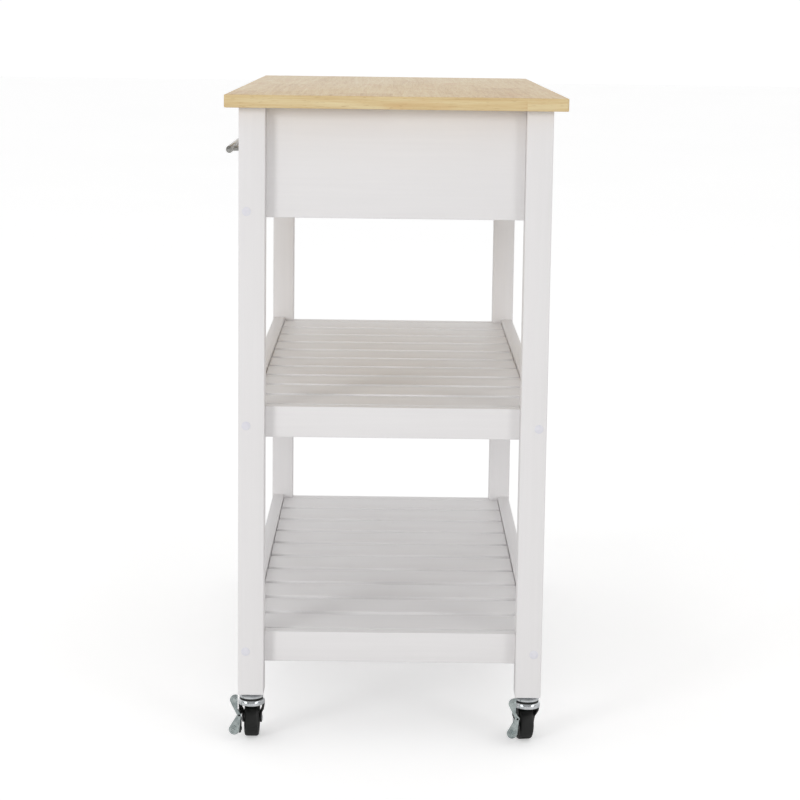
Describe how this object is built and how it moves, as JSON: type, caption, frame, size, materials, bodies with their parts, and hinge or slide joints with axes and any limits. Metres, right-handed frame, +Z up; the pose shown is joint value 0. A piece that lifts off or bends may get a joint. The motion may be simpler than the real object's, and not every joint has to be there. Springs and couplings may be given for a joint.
{
  "type": "kitchen island cart",
  "caption": "Wheeled kitchen cart with a wood worktop, drawers with bar pulls, open slatted shelves and braked swivel casters.",
  "frame": {"origin": "bottom centre of the box round the whole cart at rest, on the floor", "axes": "+X along the cart's length towards its right end, +Y from the drawer side to the back, +Z up"},
  "size_m": [0.915, 0.4595, 0.885],
  "materials": {
    "worktop_wood": "satin clear coat",
    "white_paint": "satin white paint",
    "drawer_wood": "bare, sanded",
    "bare_wood": "bare beech",
    "white_plastic": "moulded",
    "zinc_steel": "bright zinc plate",
    "satin_steel": "satin nickel",
    "black_steel": "black powder coat",
    "black_plastic": "moulded"
  },
  "bodies": {
    "root": {"worktop": "worktop_wood", "worktop_brackets": "zinc_steel", "back_panel": "white_paint", "front_rail": "white_paint", "drawer_divider": "white_paint", "shelf_cleats": "white_paint", "drawer_runners": "zinc_steel", "cover_caps": "white_plastic", "frame_bolts": "zinc_steel", "end_frame_dowels": "bare_wood", "caster_stems": "zinc_steel", "leg_front_left": "white_paint", "leg_front_right": "white_paint", "leg_back_left": "white_paint", "leg_back_right": "white_paint", "end_panel_left": "white_paint", "end_panel_right": "white_paint", "upper_rail_front": "white_paint", "upper_rail_back": "white_paint", "upper_end_rail_left": "white_paint", "upper_end_rail_right": "white_paint", "upper_slats": "white_paint", "lower_rail_front": "white_paint", "lower_rail_back": "white_paint", "lower_end_rail_left": "white_paint", "lower_end_rail_right": "white_paint", "lower_slats": "white_paint"},
    "left_drawer": {"left_drawer_front": "white_paint", "left_drawer_sides": "drawer_wood", "left_drawer_back": "drawer_wood", "left_drawer_bottom": "drawer_wood", "left_drawer_handle": "satin_steel", "left_drawer_slides": "zinc_steel"},
    "right_drawer": {"right_drawer_front": "white_paint", "right_drawer_sides": "drawer_wood", "right_drawer_back": "drawer_wood", "right_drawer_bottom": "drawer_wood", "right_drawer_handle": "satin_steel", "right_drawer_slides": "zinc_steel"},
    "swivel_front_left": {"caster_front_left_cup": "zinc_steel", "caster_front_left_fork": "black_steel", "caster_front_left_axle": "zinc_steel"},
    "wheel_front_left": {"caster_front_left_wheel": "black_plastic"},
    "brake_front_left": {"caster_front_left_brake": "zinc_steel"},
    "swivel_front_right": {"caster_front_right_cup": "zinc_steel", "caster_front_right_fork": "black_steel", "caster_front_right_axle": "zinc_steel"},
    "wheel_front_right": {"caster_front_right_wheel": "black_plastic"},
    "brake_front_right": {"caster_front_right_brake": "zinc_steel"},
    "swivel_back_left": {"caster_back_left_cup": "zinc_steel", "caster_back_left_fork": "black_steel", "caster_back_left_axle": "zinc_steel"},
    "wheel_back_left": {"caster_back_left_wheel": "black_plastic"},
    "brake_back_left": {"caster_back_left_brake": "zinc_steel"},
    "swivel_back_right": {"caster_back_right_cup": "zinc_steel", "caster_back_right_fork": "black_steel", "caster_back_right_axle": "zinc_steel"},
    "wheel_back_right": {"caster_back_right_wheel": "black_plastic"},
    "brake_back_right": {"caster_back_right_brake": "zinc_steel"}
  },
  "joints": [
    {"name": "left_drawer_slide", "type": "slide", "parent": "root", "child": "left_drawer", "axis": [0, -1, 0], "range_m": [0, 0.25]},
    {"name": "right_drawer_slide", "type": "slide", "parent": "root", "child": "right_drawer", "axis": [0, -1, 0], "range_m": [0, 0.25]},
    {"name": "swivel_front_left_turn", "type": "hinge", "parent": "root", "child": "swivel_front_left", "pos_m": [-0.42, -0.18475, 0.057], "axis": [0, 0, 1], "continuous": true},
    {"name": "wheel_front_left_spin", "type": "hinge", "parent": "swivel_front_left", "child": "wheel_front_left", "pos_m": [-0.402, -0.18475, 0.025], "axis": [0, -1, 0], "continuous": true},
    {"name": "brake_front_left_rock", "type": "hinge", "parent": "swivel_front_left", "child": "brake_front_left", "pos_m": [-0.433, -0.16885, 0.0385], "axis": [-1, 0, 0], "range_deg": [0, 6]},
    {"name": "swivel_front_right_turn", "type": "hinge", "parent": "root", "child": "swivel_front_right", "pos_m": [0.42, -0.18475, 0.057], "axis": [0, 0, 1], "continuous": true},
    {"name": "wheel_front_right_spin", "type": "hinge", "parent": "swivel_front_right", "child": "wheel_front_right", "pos_m": [0.402, -0.18475, 0.025], "axis": [0, 1, 0], "continuous": true},
    {"name": "brake_front_right_rock", "type": "hinge", "parent": "swivel_front_right", "child": "brake_front_right", "pos_m": [0.433, -0.20065, 0.0385], "axis": [1, 0, 0], "range_deg": [0, 6]},
    {"name": "swivel_back_left_turn", "type": "hinge", "parent": "root", "child": "swivel_back_left", "pos_m": [-0.42, 0.19425, 0.057], "axis": [0, 0, 1], "continuous": true},
    {"name": "wheel_back_left_spin", "type": "hinge", "parent": "swivel_back_left", "child": "wheel_back_left", "pos_m": [-0.402, 0.19425, 0.025], "axis": [0, -1, 0], "continuous": true},
    {"name": "brake_back_left_rock", "type": "hinge", "parent": "swivel_back_left", "child": "brake_back_left", "pos_m": [-0.433, 0.21015, 0.0385], "axis": [-1, 0, 0], "range_deg": [0, 6]},
    {"name": "swivel_back_right_turn", "type": "hinge", "parent": "root", "child": "swivel_back_right", "pos_m": [0.42, 0.19425, 0.057], "axis": [0, 0, 1], "continuous": true},
    {"name": "wheel_back_right_spin", "type": "hinge", "parent": "swivel_back_right", "child": "wheel_back_right", "pos_m": [0.40225, 0.19128, 0.025], "axis": [-0.165, 0.9863, 0], "continuous": true},
    {"name": "brake_back_right_rock", "type": "hinge", "parent": "swivel_back_right", "child": "brake_back_right", "pos_m": [0.43545, 0.18071, 0.0385], "axis": [0.9863, 0.165, 0], "range_deg": [0, 6]}
  ]
}
